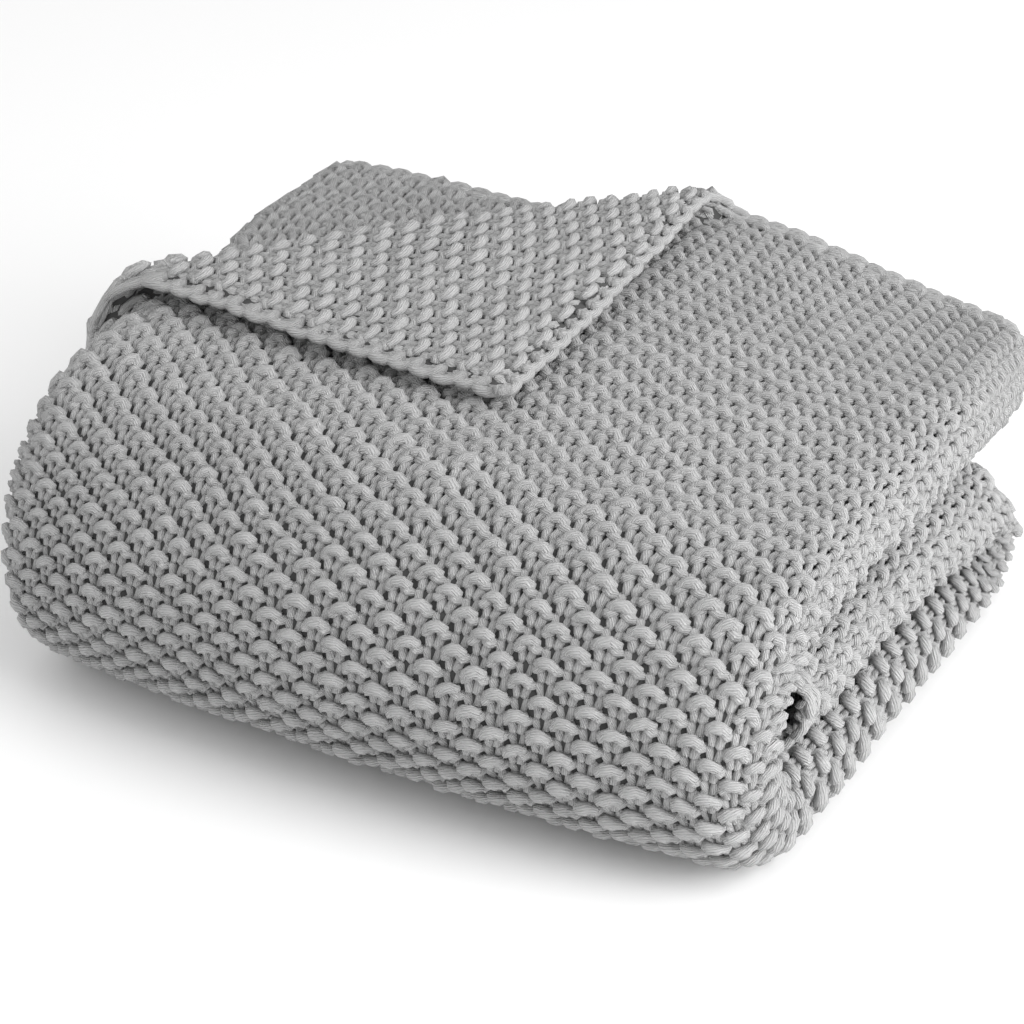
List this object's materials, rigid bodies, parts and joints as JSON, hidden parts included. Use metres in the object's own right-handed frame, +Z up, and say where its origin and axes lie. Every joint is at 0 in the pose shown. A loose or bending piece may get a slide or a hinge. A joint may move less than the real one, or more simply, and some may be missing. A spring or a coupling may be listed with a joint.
{
  "type": "knit throw blanket",
  "caption": "Chunky knitted throw blanket folded into a thick rectangular bundle, with one corner of its top layer turned back.",
  "frame": {"origin": "middle of the bundle's outline on the surface that it rests on", "axes": "+X along the smooth front fold, from the free edges towards the folded side; +Y towards the back; +Z up"},
  "size_m": [0.5658, 0.486, 0.2358],
  "materials": {
    "yarn": "soft matt light grey yarn in a raised moss stitch"
  },
  "bodies": {
    "root": {"throw": "yarn"}
  },
  "joints": []
}
